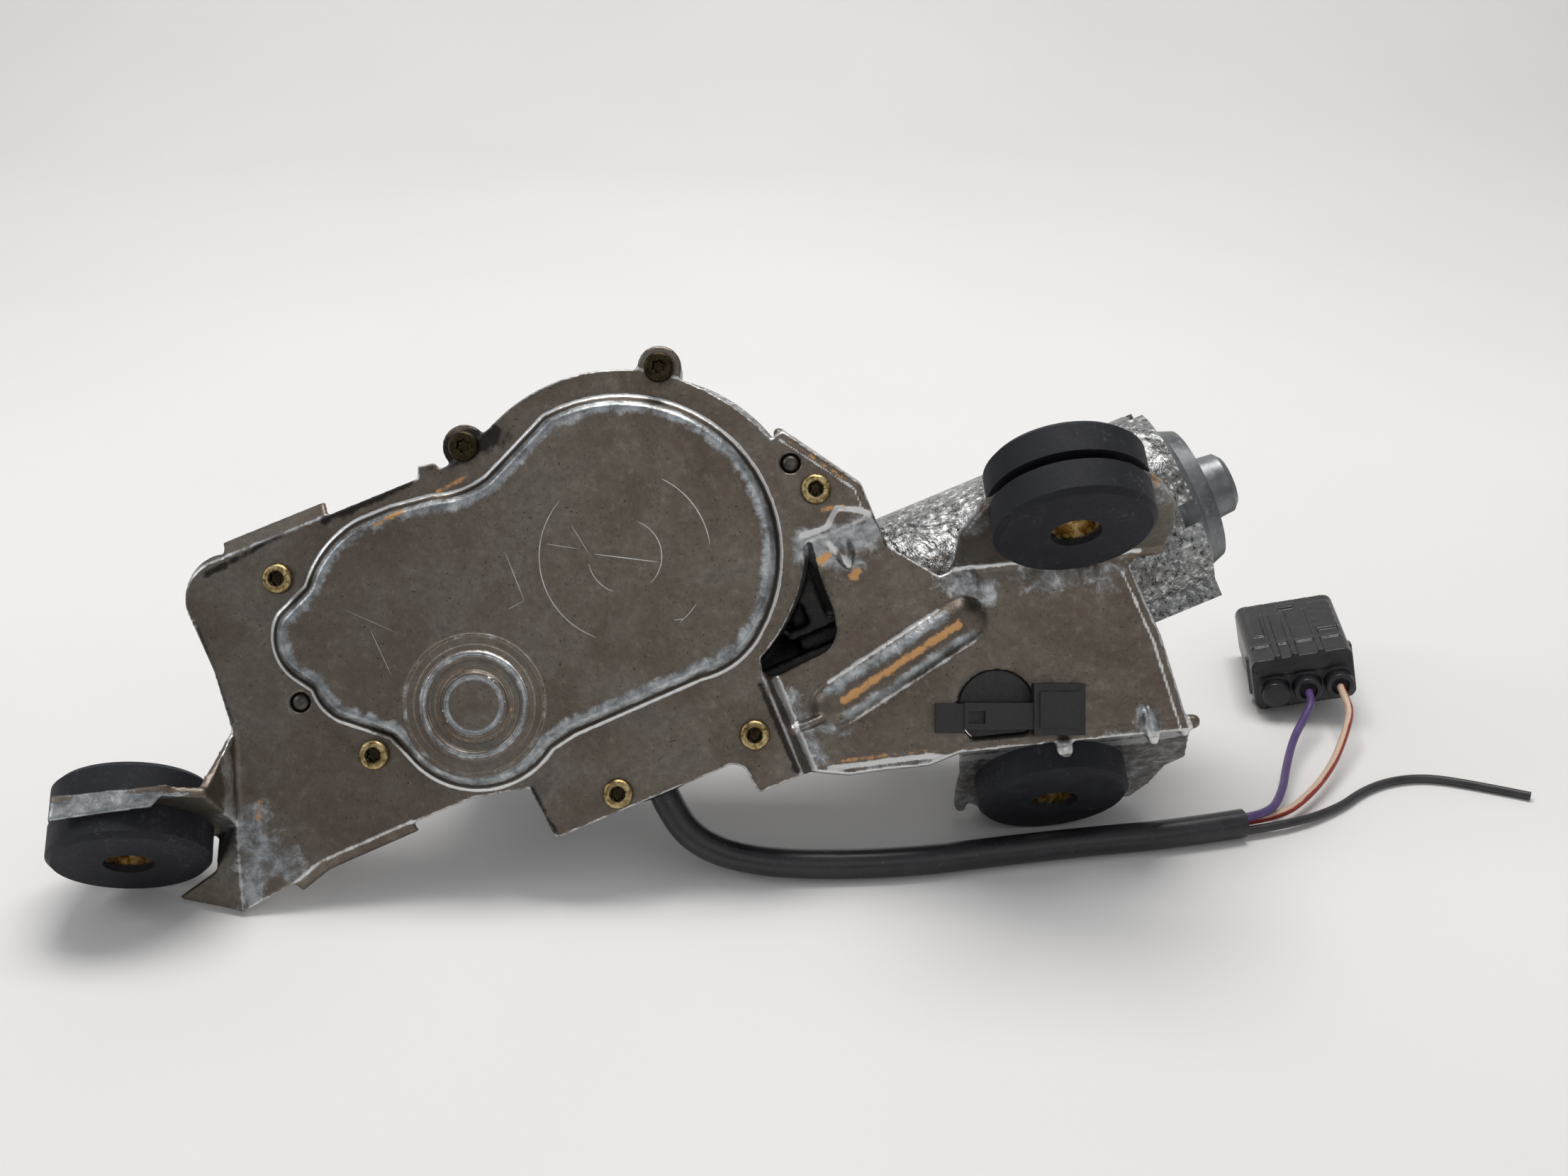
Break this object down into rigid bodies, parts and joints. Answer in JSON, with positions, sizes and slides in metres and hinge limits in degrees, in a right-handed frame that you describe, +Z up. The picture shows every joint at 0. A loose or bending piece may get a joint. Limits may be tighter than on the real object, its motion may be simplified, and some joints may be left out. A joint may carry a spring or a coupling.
{
  "type": "rear windshield wiper motor",
  "caption": "Rear windshield wiper motor: pressed mounting plate with rubber grommets over a worm gearbox, geared motor with output spindle, harness and plug.",
  "frame": {"origin": "centre of the footprint at floor level, cords and plug left out", "axes": "+X along the unit towards the motor's rear end, +Y towards the output spindle's tip (away from the plate's face), +Z up as the unit lies on its rest points"},
  "size_m": [0.4059, 0.1513, 0.1333],
  "materials": {
    "plate_steel": "dark phosphated sheet steel with worn bright edges",
    "cast_case": "bare die-cast aluminium",
    "gasket_paper": "thin dark gasket",
    "yellow_zinc": "yellow passivated zinc on steel",
    "dark_steel": "dark oiled steel",
    "black_rubber": "matt black rubber",
    "clip_plastic": "matt black nylon",
    "bronze": "sintered bronze",
    "ground_steel": "ground steel",
    "spring_steel": "spring steel",
    "can_steel": "dull zinc-plated drawn steel",
    "galvanised": "speckled galvanised steel",
    "ferrite": "dark grey ferrite",
    "laminated": "laminated electrical steel",
    "copper": "copper",
    "board": "brown phenolic",
    "holder_brass": "pressed brass",
    "carbon": "carbon",
    "wheel_plastic": "natural acetal",
    "sleeve_pvc": "satin black sleeving",
    "violet_wire": "violet insulation",
    "red_wire": "red and white insulation",
    "black_wire": "black insulation",
    "plug_plastic": "black glass-filled nylon"
  },
  "bodies": {
    "case": {"mounting_plate": "plate_steel", "gearbox_housing": "cast_case", "housing_gasket": "gasket_paper", "cover_screws": "yellow_zinc", "ear_screws": "dark_steel", "locating_dowels": "dark_steel", "grommet_left": "black_rubber", "grommet_upper": "black_rubber", "grommet_lower": "black_rubber", "sleeve_left": "yellow_zinc", "sleeve_upper": "yellow_zinc", "sleeve_lower": "yellow_zinc", "bracket_clip": "clip_plastic", "shaft_bush_inner": "bronze", "shaft_bush_outer": "bronze", "shaft_seal": "black_rubber", "wheel_axle": "ground_steel", "rocker_axle": "ground_steel", "motor_yoke": "can_steel", "flux_band": "galvanised", "field_magnets": "ferrite", "end_bearing": "bronze", "bearing_clip": "spring_steel", "drive_bearing": "bronze", "thrust_screw": "ground_steel", "motor_screws": "dark_steel", "brush_plate": "board", "brush_holders": "holder_brass", "carbon_brushes": "carbon", "brush_springs": "spring_steel", "suppression_chokes": "carbon", "contact_plate": "board", "park_contacts": "copper", "cable_grommet": "black_rubber", "harness_sleeve": "sleeve_pvc", "wire_violet": "violet_wire", "wire_red": "red_wire", "wire_black": "black_wire", "plug_housing": "plug_plastic", "plug_lock": "plug_plastic", "plug_terminals": "copper", "wire_seals": "black_rubber"},
    "armature": {"armature_shaft": "ground_steel", "armature_core": "laminated", "armature_windings": "copper", "commutator": "copper"},
    "wheel": {"worm_wheel": "wheel_plastic", "park_disc": "copper", "crank_pin": "ground_steel", "crank_clip": "spring_steel"},
    "rod": {"connecting_rod": "ground_steel"},
    "rocker": {"rocker_sector": "ground_steel"},
    "output": {"output_shaft": "ground_steel", "output_pinion": "ground_steel", "shaft_circlip": "spring_steel"}
  },
  "joints": [
    {"name": "armature_spin", "type": "hinge", "parent": "case", "child": "armature", "pos_m": [0.06187, 0.0124, 0.05278], "axis": [0.9239, 0.1737, 0.341], "continuous": true},
    {"name": "wheel_spin", "type": "hinge", "parent": "case", "child": "wheel", "pos_m": [-0.00478, 0.02198, 0.07158], "axis": [0, -0.891, 0.454], "continuous": true},
    {"name": "rod_swing", "type": "hinge", "parent": "wheel", "child": "rod", "pos_m": [-0.00001, 0.00777, 0.08114], "axis": [0, -0.891, 0.454], "continuous": true},
    {"name": "output_swing", "type": "hinge", "parent": "case", "child": "output", "pos_m": [-0.04833, 0.01115, 0.0294], "axis": [0, -0.891, 0.454], "range_deg": [0, 90]},
    {"name": "rocker_swing", "type": "hinge", "parent": "case", "child": "rocker", "pos_m": [-0.07704, -0.00666, 0.06934], "axis": [0, -0.891, 0.454], "range_deg": [-32.31, 0]}
  ],
  "couplings": [
    {"joint": "wheel_spin", "follows": "armature_spin", "ratio": -0.016667},
    {"joint": "rod_swing", "follows": "armature_spin", "ratio": 0.016667},
    {"joint": "rocker_swing", "follows": "output_swing", "ratio": -0.35897}
  ]
}
